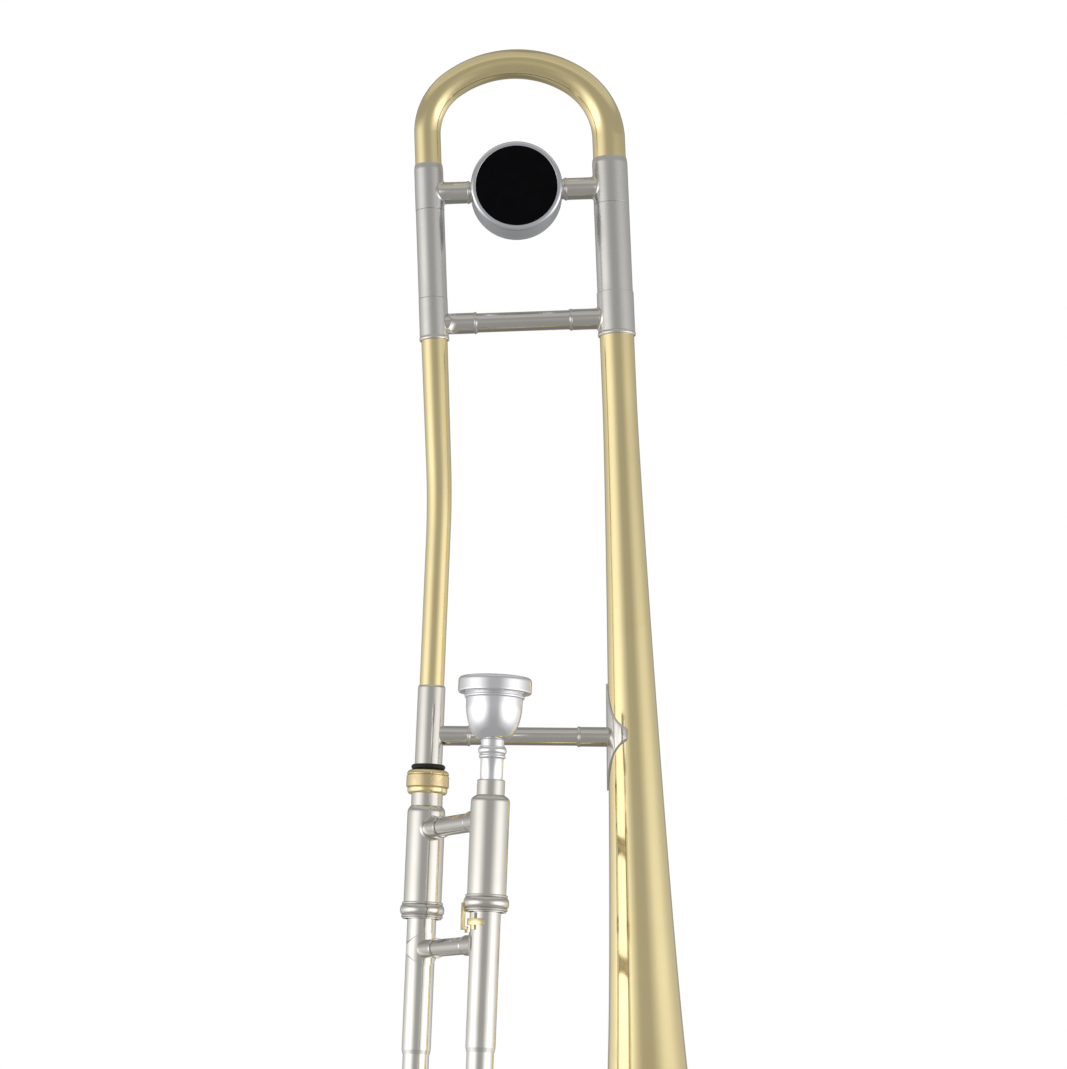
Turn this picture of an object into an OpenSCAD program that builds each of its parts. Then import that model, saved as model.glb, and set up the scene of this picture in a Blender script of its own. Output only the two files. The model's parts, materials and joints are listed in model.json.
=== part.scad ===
// Tenor trombone without a thumb valve, slide closed, bell pointing down.
// +Z runs up the hand slide, +X goes from the neck leg to the bell, and the
// mouthpiece side of the hand slide lies towards -Y. The origin is the centre
// of the bell's mouth, where a stand or a mute holds the instrument.

/* [Bell] */
// Diameter over the rolled rim of the bell
bell_d = 204; // [190:1:230]
// Length of the bell from its mouth to the end of its stem
bell_len = 565; // [520:1:600]
// Outside diameter of the bell's stem
stem_od = 19.2; // [17:0.1:22]
// Length of the even stem above the taper
stem_len = 55; // [30:1:70]
// How soon the flare opens: a small value opens it late
flare_reach = 71; // [55:1:90]
// How much of the radius the long slow taper adds
slow_taper = 14.5; // [10:0.1:18]
// Wall of the bell and of the plain brass tubes
wall = 0.5; // [0.4:0.05:0.8]
// Radius of the rolled bead at the rim
bead_r = 1.6; // [1.2:0.1:2.4]

/* [Bell section] */
// Distance between the neck leg and the bell's axis
leg_spacing = 101.9; // [96:0.1:112]
// Lean of the bell section away from the hand slide, in degrees
bell_tilt = 4.35; // [3.8:0.05:6]
// Outside diameter of the outer tuning tube on the bell side
bell_tube_od = 19.85; // [19.5:0.05:21]
// Outside diameter of the outer tuning tube on the neck side
neck_tube_od = 16; // [15.9:0.1:18]
// Outside diameter of the gooseneck where it meets the tuning tube
gooseneck_top_od = 14.8; // [14:0.1:15]
// Outside diameter of the gooseneck at its lower end
gooseneck_end_od = 13.5; // [13.2:0.1:14.6]
// Bend radius of the gooseneck
gooseneck_bend_r = 520; // [300:10:600]
// Height of the gooseneck's bend above the foot of the slide barrels
bend_height = 228; // [205:1:260]

/* [Tuning slide] */
// Height of the joint line of the tuning slide above the gooseneck's bend
joint_height = 164.6; // [150:0.1:190]
// Length of the bow ferrules above the joint line
bow_ferrule_len = 26.6; // [20:0.1:34]
// Height of the bow's centreline above the joint line
bow_rise = 83.6; // [82:0.1:100]
// Radius of the bow's corner on the neck side
bow_neck_r = 34.5; // [28:0.5:38]
// Radius of the bow's corner on the bell side
bow_bell_r = 42; // [34:0.5:44]
// Outside diameter of the bow on the neck side
bow_neck_od = 14.8; // [14:0.1:14.8]
// Outside diameter of the bow on the bell side
bow_bell_od = 18.4; // [17:0.1:18.6]
// Radial clearance of the tuning slide's inner legs
tuning_fit = 0.03; // [0.02:0.01:0.08]
// Length of the inner legs below the joint line
tuning_leg_len = 58; // [50:1:60]

/* [Balance weight] */
// Diameter of the weight
weight_d = 51.4; // [48:0.1:52]
// Thickness of the weight
weight_t = 25; // [22:1:30]
// Diameter of the disc let into its face
badge_d = 45.8; // [36:0.1:45.8]

/* [Braces] */
// Outside diameter of the tube through the balance weight
weight_brace_od = 11.4; // [9:0.1:12]
// Outside diameter of the upper bell brace
upper_brace_od = 10.8; // [9:0.1:12]
// Outside diameter of the main bell brace
main_brace_od = 9.9; // [8:0.1:12]
// Outside diameter of the inner slide brace
inner_brace_od = 10.4; // [8:0.1:12]
// Outside diameter of the outer slide brace
outer_brace_od = 9.4; // [8:0.1:12]
// Wall of the sockets that the brace tubes are soldered into
socket_wall = 0.45; // [0.4:0.05:0.8]
// Distance from a slide tube's axis to the mouth of its brace socket
slide_socket_reach = 23.5; // [18:0.5:28]
// Height of the main bell brace
main_brace_height = 97.6; // [90:0.1:110]
// Height of the inner slide brace
inner_brace_height = 45; // [36:0.5:48]
// Height of the outer slide brace, below the foot of the barrels
outer_brace_height = -20.5; // [-30:0.5:-18]

/* [Hand slide] */
// Distance between the two tubes of the hand slide
slide_spacing = 85; // [80:0.5:92]
// Turn of the hand slide away from square to the bell's plane, in degrees
slide_angle = 24.6; // [0:0.1:28]
// Bore of the inner slide tubes
bore = 12.7; // [12.2:0.05:13]
// Wall of the inner slide tubes
inner_wall = 0.3; // [0.25:0.05:0.4]
// Thickness of the stockings, the sleeves at the lower ends of the inner tubes
stocking_t = 0.21; // [0.15:0.01:0.3]
// Radial clearance of the stockings in the outer tubes
slide_fit = 0.07; // [0.03:0.01:0.1]
// Wall of the outer slide tubes
outer_wall = 0.25; // [0.2:0.05:0.4]
// Wall of the oversleeves at the upper ends of the outer tubes
oversleeve_wall = 0.72; // [0.5:0.02:1]
// Length of the straight outer slide tubes below the foot of the barrels
outer_tube_len = 630; // [560:1:660]
// How far the oversleeves show below the foot of the barrels
oversleeve_len = 77; // [70:1:110]
// Outside diameter of the cork barrels
barrel_d = 20.7; // [19:0.1:22.4]
// Height of the barrels' shoulders above their foot
barrel_h = 54.7; // [50:0.1:60]
// Running clearance of turning parts, on the radius
turn_fit = 0.05; // [0.03:0.01:0.08]

/* [Mouthpiece] */
// Diameter over the mouthpiece's rim
mouthpiece_d = 39.1; // [36:0.1:42]
// Height of the rim above the top of the mouthpiece receiver
mouthpiece_rise = 54.8; // [50:0.1:60]
// Diameter of the shank where it enters the receiver
shank_d = 11.9; // [10.5:0.1:11.9]

/* [Hidden] */
$fn = 96;

lacquer = "#d8bf72";
nickel = "#bcb8ae";
silver = "#d9dadd";
chrome = "#cfd2d6";
black = "#1c1c1f";
cork = "#b98f5e";

// Heights along the bell section, from the gooseneck's bend
stem_top = joint_height - 62.6;
mouth_height = stem_top - bell_len;
tube_foot = stem_top + 12;
ferrule_foot = stem_top - 13;
gooseneck_top = tube_foot - 9;
upper_brace_height = ferrule_foot + 10.5;
weight_height = joint_height + 10;
// Tubes of the bell section
bell_r = bell_d / 2 - bead_r - 0.8;
bell_ferrule_od = max(bell_tube_od, stem_od) + 0.8;
neck_ferrule_od = neck_tube_od + 0.2;
neck_bore = neck_tube_od - 2 * wall;
bell_bore = bell_tube_od - 2 * wall;
// Places of the sockets' mouths, from the tube that they stand on
upper_socket_reach = 24.3;
weight_socket_reach = 24.6;
main_socket_reach = 22.5;
main_socket_bell_reach = 31;
main_brace_tilt = 1.8;
weight_x = leg_spacing / 2 - 2;
// Neck joint
sleeve_od = gooseneck_end_od + 1.6;
sleeve_top = 124;
nut_foot = barrel_h + 9.3;
nut_h = 13.7;
boss_r = 8.6;
boss_top = nut_foot + 5.8;
tenon_r = 7;
tenon_foot = boss_top - 20;
// Hand slide
inner_od = bore + 2 * inner_wall;
outer_id = inner_od + 2 * stocking_t + 2 * slide_fit;
outer_od = outer_id + 2 * outer_wall;
oversleeve_od = outer_od + 2 * oversleeve_wall;
barrel_foot = -4;
barrel_bore = barrel_d - 2.3;
barrel_plate = barrel_h - 3;
receiver_foot = barrel_h - 27;
bumper_h = 6;
bumper_foot = receiver_foot - bumper_h;
outer_top = bumper_foot - 0.5;
inner_len = outer_tube_len - 8;
stocking_len = 110;
receiver_top = barrel_h + 11;
receiver_r = 7.4;
ring_foot = -3.35;
ring_h = 8.5;
ring_out = 1.65;
hook_r = barrel_d / 2 + 0.55;
hook_t = 2.2;
hook_foot = -13.4;
hook_h = 14;
hook_gap = 1.3;
saddle_r = oversleeve_od / 2 + 2.3;
saddle_foot = -11.2;
saddle_h = 3.5;
saddle_start = 200;
// End bow and water key
bow_r = slide_spacing / 2;
bow_z = -outer_tube_len - 13;
bow_out = bow_r + outer_od / 2;
key_turn = 205;
key_pivot = bow_out + 6.3;
key_cup_at = 19;
key_pad_at = 26;
key_pin_r = 0.9;
key_ear_y = 3.2;
knuckle_y = 1.55;
spring_wire_r = 0.36;
spring_pitch = 0.62;
tip_face = bow_z - bow_out - 14;
mouth_x = leg_spacing * cos(bell_tilt) - mouth_height * sin(bell_tilt);
mouth_z = bend_height + leg_spacing * sin(bell_tilt) + mouth_height * cos(bell_tilt);

// ---- places ----

module on_neck_tube() translate([-mouth_x, 0, -mouth_z]) children();

module in_slide_plane() on_neck_tube() rotate([0, 0, slide_angle - 90]) children();

module on_mouth_tube() in_slide_plane() translate([slide_spacing, 0, 0]) children();

module on_neck_leg() on_neck_tube() translate([0, 0, bend_height]) rotate([0, -bell_tilt, 0]) children();

module on_bell_axis() on_neck_leg() translate([leg_spacing, 0, 0]) children();

// The water key's place: X runs out of the bow, Z back along it, Y across
module at_key() in_slide_plane() translate([bow_r, 0, bow_z]) rotate([0, 180 - key_turn, 0])
    mirror([1, 0, 0]) children();

// ---- shapes ----

// A straight tube between two heights
module tube(od, id, from, to) translate([0, 0, from]) difference() {
    cylinder(d = od, h = to - from);
    translate([0, 0, -1]) cylinder(d = id, h = to - from + 2);
}

// Outline points of a rounded swelling on radius r, h proud
function swelling(r, from, to, h, steps = 8) =
    [for (i = [0:steps]) [r + h * sin(180 * i / steps), from + (to - from) * i / steps]];

// A ring of three beads round a tube: thin, wide, thin
module beaded_ring(inner_r, r, from, h, out) {
    edge = h * 0.16;
    rotate_extrude() polygon(concat([[inner_r, from]], swelling(r, from, from + edge, out * 0.5, 6),
        swelling(r, from + edge, from + h - edge, out),
            swelling(r, from + h - edge, from + h, out * 0.5, 6),
        [[inner_r, from + h]]));
}

// A brace tube along X
module brace_tube(od, from, to) translate([from, 0, 0]) rotate([0, 90, 0]) difference() {
    cylinder(d = od, h = to - from);
    translate([0, 0, -1]) cylinder(d = od - 2 * wall - 0.2, h = to - from + 2);
}

// A socket along +X that stands on an upright tube of radius seat_r, with a bead at its mouth
module socket(brace_od, seat_r, reach) {
    r = brace_od / 2 + socket_wall;
    start = seat_r * 0.55;
    difference() {
        rotate([0, 90, 0]) rotate_extrude() polygon(concat([[brace_od / 2, start], [r, start]],
            swelling(r, reach - 1.6, reach - 0.4, 0.35, 6), [[r, reach], [brace_od / 2, reach]]));
        translate([0, 0, -2 * r]) cylinder(r = seat_r, h = 4 * r);
    }
}

// Points of a ring of the swept tube: centre [x, z], tilt of the tube, radius
sides = 32;
function ring_points(s, r) = [for (k = [0:sides - 1])
    let (across = r * cos(360 * k / sides))
        [s[0] + across * cos(s[2]), r * sin(360 * k / sides), s[1] - across * sin(s[2])]];

// A tube swept through stations [x, z, tilt, outer radius], from one end to the other
module swept_tube(stations) {
    n = len(stations);
    points = concat([for (s = stations) each ring_points(s, s[3])],
        [for (s = stations) each ring_points(s, s[3] - wall)]);
    inner = n * sides;
    polyhedron(points, concat(
        [for (i = [0:n - 2], k = [0:sides - 1]) let (a = i * sides + k, b = i * sides + (k + 1) % sides)
            [a, a + sides, b + sides, b]],
        [for (i = [0:n - 2], k = [0:sides - 1])
            let (a = inner + i * sides + k, b = inner + i * sides + (k + 1) % sides)
            [a, b, b + sides, a + sides]],
        [for (k = [0:sides - 1]) let (j = (k + 1) % sides) [k, j, inner + j, inner + k]],
        [for (k = [0:sides - 1]) let (j = (k + 1) % sides, e = (n - 1) * sides)
            [e + k, inner + e + k, inner + e + j, e + j]]), convexity = 10);
}

// ---- bell section ----

// Outer radius of the bell at a height above its mouth: a flare on a slow taper
function opening(s) = pow(1 + s / flare_reach, -3);
function bell_radius(s) = stem_od / 2
    + (bell_r - stem_od / 2 - slow_taper) * (opening(s) - opening(bell_len)) / (1 - opening(bell_len))
    + slow_taper * pow(max(0, 1 - s / (bell_len - stem_len)), 1.25);
function bell_wall(s) = wall * sqrt(1 + pow(bell_radius(s + 0.5) - bell_radius(s), 2) * 4);

module bell() color(lacquer) on_bell_axis() translate([0, 0, mouth_height]) {
    steps = 30;
    heights = [for (i = [0:steps]) bell_len * pow(i / steps, 2)];
    difference() {
        union() {
            rotate_extrude() polygon(concat([for (s = heights) [bell_radius(s), s]],
                [for (i = [steps:-1:0]) [bell_radius(heights[i]) - bell_wall(heights[i]), heights[i]]]));
            rotate_extrude() translate([bell_r + 0.8, bead_r * 0.8]) circle(r = bead_r);
        }
        rotate_extrude() translate([bell_r + 0.8, bead_r * 0.8]) circle(r = bead_r - wall);
    }
}

module bell_rim_wire() color(nickel) on_bell_axis() translate([0, 0, mouth_height + bead_r * 0.8])
    rotate_extrude() translate([bell_r + 0.8, 0]) circle(r = bead_r - wall - 0.02);

module bell_ferrule() color(nickel) on_bell_axis() {
    tube(bell_ferrule_od, stem_od + 0.06, ferrule_foot, stem_top);
    tube(bell_ferrule_od, bell_tube_od, stem_top, tube_foot);
    beaded_ring(bell_ferrule_od / 2 - 0.1, bell_ferrule_od / 2 - 0.01, ferrule_foot, 2.4, 0.3);
}

module bell_outer_tube() color(nickel) on_bell_axis() tube(bell_tube_od, bell_bore, stem_top, joint_height);

module neck_outer_tube() color(nickel) on_neck_leg() tube(neck_tube_od, neck_bore, tube_foot, joint_height);

module neck_ferrule() color(nickel) on_neck_leg() {
    tube(neck_ferrule_od, neck_bore, gooseneck_top, tube_foot);
    tube(neck_ferrule_od, gooseneck_top_od, ferrule_foot + 1, gooseneck_top);
    beaded_ring(neck_ferrule_od / 2 - 0.1, neck_ferrule_od / 2 - 0.01, ferrule_foot + 1, 2.4, 0.3);
}

module upper_brace_tube() color(nickel) on_neck_leg() translate([0, 0, upper_brace_height])
    brace_tube(upper_brace_od, neck_ferrule_od / 2 + 3, leg_spacing - bell_ferrule_od / 2 - 3);

module upper_brace_sockets() color(nickel) on_neck_leg() translate([0, 0, upper_brace_height]) {
    socket(upper_brace_od, neck_ferrule_od / 2, upper_socket_reach);
    translate([leg_spacing, 0, 0]) mirror([1, 0, 0])
        socket(upper_brace_od, bell_ferrule_od / 2, upper_socket_reach + 2);
}

// The gooseneck narrows down to the foot of its bend and is even below it
bend_reach = gooseneck_bend_r * tan(bell_tilt / 2);
neck_foot = sleeve_top - 24;

// Outer radius of the gooseneck at a length u above the foot of its bend
function gooseneck_radius(u) = gooseneck_end_od / 2
    + (gooseneck_top_od - gooseneck_end_od) / 2 * u / (gooseneck_top + bend_reach);

module gooseneck() color(lacquer) on_neck_tube()
    swept_tube(concat([[0, neck_foot, 0, gooseneck_end_od / 2]],
    [for (a = [0:bell_tilt / 6:bell_tilt]) [-gooseneck_bend_r * (1 - cos(a)),
        bend_height - bend_reach + gooseneck_bend_r * sin(a), -a,
            gooseneck_radius(2 * bend_reach * a / bell_tilt)]],
    [[-gooseneck_top * sin(bell_tilt), bend_height + gooseneck_top * cos(bell_tilt), -bell_tilt,
        gooseneck_top_od / 2]]));

// Nickel sleeve, collar under the nut, and the tenon that enters the slide
module neckpipe() color(nickel) on_neck_tube() rotate_extrude() polygon([
    [bore / 2, tenon_foot], [tenon_r - 0.3, tenon_foot], [tenon_r, tenon_foot + 0.6],
        [tenon_r, boss_top + 0.2],
    [boss_r - 0.1, boss_top + 0.2], [boss_r - 0.1, boss_top + 3.4], [sleeve_od / 2, boss_top + 3.4],
    [sleeve_od / 2, sleeve_top - 1.4], [sleeve_od / 2 - 0.35, sleeve_top],
        [gooseneck_end_od / 2, sleeve_top],
    [gooseneck_end_od / 2, sleeve_top - 24], [bore / 2, sleeve_top - 24]]);

module neck_washer() color(black) on_neck_tube() {
    foot = nut_foot + nut_h + 0.1;
    rotate_extrude() polygon(concat([[sleeve_od / 2, foot]],
        swelling(sleeve_od / 2 + 0.9, foot, foot + 2.7, 0.9),
        [[sleeve_od / 2, foot + 2.7]]));
}

module main_brace() on_neck_tube() translate([0, 0, main_brace_height - 1])
    rotate([0, -main_brace_tilt, 0]) children();

// Distance from the slide's axis to the bell's axis along the main brace
main_brace_len = (leg_spacing + (bend_height - main_brace_height) * sin(bell_tilt))
    / cos(bell_tilt - main_brace_tilt);
bell_at_brace = bell_radius((main_brace_height - mouth_z) / cos(bell_tilt));

module main_brace_tube() color(nickel) main_brace()
    brace_tube(main_brace_od, sleeve_od / 2 + 3, main_brace_len - bell_at_brace - 4);

module main_socket_neck() color(nickel) difference() {
    main_brace() socket(main_brace_od, sleeve_od / 2 - 0.2, main_socket_reach);
    on_neck_tube() translate([0, 0, main_brace_height - 20]) cylinder(d = sleeve_od, h = 40);
}

module main_socket_bell() color(nickel) difference() {
    main_brace() translate([main_brace_len, 0, 0]) mirror([1, 0, 0])
        socket(main_brace_od, bell_at_brace + 0.4, main_socket_bell_reach);
    bell_skin(1);
}

// Solid of the bell around the brace, made thicker than the bell by t
module bell_skin(t) on_bell_axis() translate([0, 0, mouth_height]) {
    middle = (main_brace_height - mouth_z) / cos(bell_tilt);
    heights = [for (i = [-4:4]) middle + i * 9];
    rotate_extrude() polygon(concat([[0, heights[0]]], [for (s = heights) [bell_radius(s) + t, s]],
        [[0, heights[8]]]));
}

// Half width of the diamond at a share of its height, with hollow sides
function diamond_half(u) = 15.5 * pow(1 - abs(u), 1.35);

// Diamond plate between the main brace and the bell
module brace_flange() color(nickel) intersection() {
    half = 29.5;
    difference() {
        bell_skin(1);
        bell_skin(0.06);
    }
    main_brace() translate([main_brace_len - bell_at_brace - 4, 0, 0]) rotate([90, 0, 90])
        linear_extrude(bell_at_brace) polygon(concat([for (i = [-8:8])
            [diamond_half(i / 8) + 0.4, i * half / 8]],
            [for (i = [8:-1:-8]) [-diamond_half(i / 8) - 0.4, i * half / 8]]));
}

module lock_nut() color(lacquer) on_neck_tube() {
    grip_r = 12.1;
    top = nut_foot + nut_h;
    flange_foot = boss_top + 3.6;
    rotate_extrude() polygon(concat([[boss_r + turn_fit, nut_foot], [grip_r - 2, nut_foot],
        [grip_r - 1.1, nut_foot + 2],
        [grip_r, nut_foot + 3], [grip_r, top - 3.4], [grip_r - 0.7, top - 2.6]],
        [for (i = [0:6]) [grip_r - 2.3 + 1.8 * cos(15 * i), top - 2.4 + 2.4 * sin(15 * i)]],
        [[sleeve_od / 2 + turn_fit, top], [sleeve_od / 2 + turn_fit, flange_foot],
            [boss_r + turn_fit, flange_foot]]));
}

// ---- tuning slide ----

// The bow's centreline is a corner, a flat arch and a corner; its radius grows towards the bell
bow_turn = 55;
corners = bow_neck_r + bow_bell_r;
arch_r = (leg_spacing - corners + corners * cos(bow_turn)) / (2 * cos(bow_turn));
arch_x = bow_neck_r + (arch_r - bow_neck_r) * cos(bow_turn);
arch_z = joint_height + bow_rise - arch_r;

// Height of the centre of a corner with radius r
function corner_z(r) = arch_z + (arch_r - r) * sin(bow_turn);

function bow_radius(a) = (bow_neck_od + (bow_bell_od - bow_neck_od) * a / 180) / 2;
// Station of a bend about (x, z) with radius r, where the tube has turned by a
function bow_station(x, z, r, a) = [x - r * cos(a), z + r * sin(a), a, bow_radius(a)];

module tuning_bow() color(lacquer) on_neck_leg() {
    foot = joint_height + bow_ferrule_len - 12;
    step = 5;
    swept_tube(concat([[0, foot, 0, bow_neck_od / 2]],
        [for (a = [0:step:bow_turn]) bow_station(bow_neck_r, corner_z(bow_neck_r), bow_neck_r, a)],
        [for (a = [bow_turn + step:step:180 - bow_turn]) bow_station(arch_x, arch_z, arch_r, a)],
        [for (a = [180 - bow_turn + step:step:180])
            bow_station(leg_spacing - bow_bell_r, corner_z(bow_bell_r), bow_bell_r, a)],
        [[leg_spacing, foot, 180, bow_bell_od / 2]]));
}

// A ferrule that joins a bow end to its inner leg, chamfered at the top
module bow_ferrule(od, bow_od, leg_od) {
    top = joint_height + bow_ferrule_len;
    rotate_extrude() polygon([[leg_od / 2, joint_height + 0.1], [od / 2, joint_height + 0.1],
        [od / 2, top - 2],
        [bow_od / 2 + 0.25, top], [bow_od / 2, top], [bow_od / 2, top - 12], [leg_od / 2, top - 12]]);
}

neck_leg_od = neck_bore - 2 * tuning_fit;
bell_leg_od = bell_bore - 2 * tuning_fit;

module bow_ferrule_neck() color(nickel) on_neck_leg()
    bow_ferrule(neck_ferrule_od, bow_neck_od, neck_leg_od);

module bow_ferrule_bell() color(nickel) on_bell_axis() bow_ferrule(bell_tube_od, bow_bell_od, bell_leg_od);

module tuning_leg(od) tube(od, od - 2 * wall, joint_height - tuning_leg_len,
    joint_height + bow_ferrule_len - 12.1);

module tuning_leg_neck() color(nickel) on_neck_leg() tuning_leg(neck_leg_od);

module tuning_leg_bell() color(nickel) on_bell_axis() tuning_leg(bell_leg_od);

module weight_brace_tube() color(nickel) on_neck_leg() translate([0, 0, weight_height])
    brace_tube(weight_brace_od, neck_ferrule_od / 2 + 3, leg_spacing - bell_tube_od / 2 - 3.2);

module weight_socket_neck() color(nickel) on_neck_leg() translate([0, 0, weight_height])
    socket(weight_brace_od, neck_ferrule_od / 2, weight_socket_reach - 1.6);

module weight_socket_bell() color(nickel) on_bell_axis() translate([0, 0, weight_height]) mirror([1, 0, 0])
    socket(weight_brace_od, bell_tube_od / 2, weight_socket_reach + 1.8);

// Half of the weight, with its axis along Y and the hole for the brace tube
module weight_half(face_r, recess) difference() {
    rotate([90, 0, 0]) rotate_extrude() polygon(concat([[0, 0.05], [weight_d / 2, 0.05]],
        [for (i = [0:6]) [weight_d / 2 - 1.6 + 1.6 * cos(15 * i), weight_t / 2 - 1.6 + 1.6 * sin(15 * i)]],
        [[face_r, weight_t / 2], [face_r, weight_t / 2 - recess], [0, weight_t / 2 - recess]]));
    translate([-weight_d, 0, 0]) rotate([0, 90, 0]) cylinder(d = weight_brace_od, h = 2 * weight_d);
}

module at_weight() on_neck_leg() translate([weight_x, 0, weight_height]) children();

module weight_front() color(chrome) at_weight() weight_half(badge_d / 2, 1.2);

module screw_holes(r, h) for (side = [-1, 1]) translate([0, weight_t / 2 - h, side * 15])
    rotate([-90, 0, 0]) cylinder(r = r, h = h + 1);

module weight_back() color(chrome) at_weight() difference() {
    rotate([0, 0, 180]) weight_half(8, 0.8);
    screw_holes(2.5, 7);
}

module weight_badge() color(black) at_weight() rotate([90, 0, 0]) translate([0, 0, weight_t / 2 - 1.2])
    cylinder(d = badge_d, h = 0.9);

// Two clamp screws with slotted heads in the back of the weight
module weight_screws() color(nickel) at_weight() for (side = [-1, 1])
    translate([0, weight_t / 2 - 7, side * 15])
    rotate([-90, 0, 0]) difference() {
        cylinder(r = 2.5, h = 6.2);
        translate([-3, -0.35, 5.2]) cube([6, 0.7, 2]);
    }

// ---- inner hand slide ----

module slide_receiver() color(nickel) on_neck_tube() rotate_extrude() polygon([
    [inner_od / 2, receiver_foot], [boss_r, receiver_foot], [boss_r, boss_top],
        [tenon_r + turn_fit, boss_top],
    [tenon_r + turn_fit, tenon_foot - 0.2], [inner_od / 2, tenon_foot - 0.2]]);

// Barrel over the bumpers: rounded shoulder, hollow below its top plate, lip at its foot
module barrel(neck_r) {
    r = barrel_d / 2;
    round_r = 2.6;
    rotate_extrude() polygon(concat([[barrel_bore / 2, barrel_foot], [r + 0.35, barrel_foot],
        [r + 0.35, barrel_foot + 0.5],
        [r, barrel_foot + 0.5]],
        [for (i = [0:6]) [r - round_r + round_r * cos(15 * i), barrel_h - 1 + (round_r + 1.6)
            * sin(15 * i)]],
        [[neck_r, barrel_h + round_r + 0.6], [neck_r, barrel_plate], [barrel_bore / 2, barrel_plate]]));
}

module barrel_neck() color(nickel) on_neck_tube() barrel(boss_r);

module barrel_mouth() color(nickel) on_mouth_tube() barrel(receiver_r);

module barrel_ring_neck() color(nickel) on_neck_tube()
    beaded_ring(barrel_d / 2, barrel_d / 2 + 0.1, ring_foot, ring_h, ring_out);

module inner_tube_neck() color(nickel) on_neck_tube() tube(inner_od, bore, -inner_len, tenon_foot - 0.4);

module inner_tube_mouth() color(nickel) on_mouth_tube() tube(inner_od, bore, -inner_len, receiver_foot + 8);

module stockings() color(silver) {
    stocking_od = inner_od + 2 * stocking_t;
    on_neck_tube() tube(stocking_od, inner_od, -inner_len, -inner_len + stocking_len);
    on_mouth_tube() tube(stocking_od, inner_od, -inner_len, -inner_len + stocking_len);
}

// Taper of the mouthpiece's shank, one part in forty on the diameter
shank_len = 28;
shank_end_r = shank_d / 2 - shank_len / 80;

module mouthpiece_receiver() color(nickel) on_mouth_tube() rotate_extrude() polygon([
    [inner_od / 2, receiver_foot], [receiver_r, receiver_foot], [receiver_r, receiver_top - 0.4],
    [receiver_r - 0.4, receiver_top], [shank_d / 2 + turn_fit, receiver_top],
    [shank_end_r + turn_fit, receiver_top - shank_len], [shank_end_r - 0.3, receiver_top - shank_len - 0.3],
    [shank_end_r - 0.3, receiver_foot + 8.1], [inner_od / 2, receiver_foot + 8.1]]);

module leadpipe() color(lacquer) on_mouth_tube() rotate_extrude() polygon([
    [bore / 2, receiver_foot + 8], [shank_end_r - 0.3, receiver_foot + 8], [5.1, receiver_foot - 30],
    [5.9, receiver_foot - 200], [bore / 2, receiver_foot - 200]]);

module at_inner_brace() in_slide_plane() translate([0, 0, inner_brace_height]) children();

module inner_brace_tube() color(nickel) at_inner_brace()
    brace_tube(inner_brace_od, barrel_d / 2 + 3, slide_spacing - barrel_d / 2 - 3);

module facing_pair() {
    children();
    translate([slide_spacing, 0, 0]) mirror([1, 0, 0]) children();
}

module inner_brace_sockets() color(nickel) at_inner_brace() facing_pair()
    socket(inner_brace_od, barrel_d / 2, slide_socket_reach);

module bumper_corks() color(cork) {
    on_neck_tube() tube(barrel_bore, inner_od, bumper_foot, receiver_foot);
    on_mouth_tube() tube(barrel_bore, inner_od, bumper_foot, receiver_foot);
}

// Ring that turns on the barrel and carries the lock's hook
module lock_ring() color(nickel) on_mouth_tube()
    beaded_ring(barrel_d / 2 + turn_fit, barrel_d / 2 + 0.1, ring_foot, ring_h, ring_out);

// Brass hook let into the ring, which turns in under the saddle of the outer slide
module lock_hook() color(lacquer) on_mouth_tube() rotate([0, 0, 90 - slide_angle]) {
    difference() {
        rotate_extrude(angle = 26, start = 168) translate([hook_r, hook_foot]) square([hook_t, hook_h]);
        beaded_ring(barrel_d / 2 - 1, barrel_d / 2 + 0.1, ring_foot, ring_h, ring_out);
    }
    rotate_extrude(angle = 26, start = 168) translate([oversleeve_od / 2 + hook_gap, hook_foot])
        square([hook_r + 0.1 - oversleeve_od / 2 - hook_gap, 1.5]);
    rotate_extrude(angle = 10, start = 176) translate([oversleeve_od / 2 + hook_gap, hook_foot - 1.6])
        square([1.6, 1.7]);
}

// ---- mouthpiece ----

// Heights are from the top of the receiver; the cup's inside follows its outside
module mouthpiece() color(silver) on_mouth_tube() translate([0, 0, receiver_top]) {
    rim_r = mouthpiece_d / 2;
    top = mouthpiece_rise;
    rim_foot = top - 9.6;
    shank_r = shank_d / 2;
    stem_r = shank_r + 0.35;
    rotate_extrude() polygon(concat(
        [[shank_end_r - 1.1, -shank_len], [shank_end_r, -shank_len], [shank_r, 0], [shank_r, 11],
            [stem_r + 0.5, 11.6]],
        swelling(stem_r + 0.1, 12, 14, 0.6, 6), swelling(stem_r + 0.1, 14, 18, 0.9, 6),
            [[stem_r, 18.4], [stem_r, 21]],
        [for (i = [0:8]) [stem_r + 8.6 * sin(90 * i / 8), 21 + 18 * (1 - cos(90 * i / 8))]],
        [[stem_r + 8.9, rim_foot - 2.4]], swelling(stem_r + 8.9, rim_foot - 2.4, rim_foot - 0.4, 0.8, 6),
        [[rim_r - 2.6, rim_foot], [rim_r - 0.6, rim_foot + 0.8], [rim_r, rim_foot + 2.4]],
        [for (i = [0:6]) [rim_r - 3.4 + 3.4 * cos(15 * i), top - 3.4 + 3.4 * sin(15 * i)]],
        [for (i = [0:4]) [rim_r - 5.2 - 1.3 * sin(22.5 * i), top - 1.3 + 1.3 * cos(22.5 * i)]],
        [for (i = [0:8]) [3.4 + (rim_r - 10) * cos(90 * i / 8), top - 5 - 24 * sin(90 * i / 8)]],
        [[3.1, top - 36], [3.4, 8]]));
}

// ---- outer hand slide ----

module outer_tube_neck() color(nickel) on_neck_tube() tube(outer_od, outer_id, -outer_tube_len, outer_top);

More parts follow.
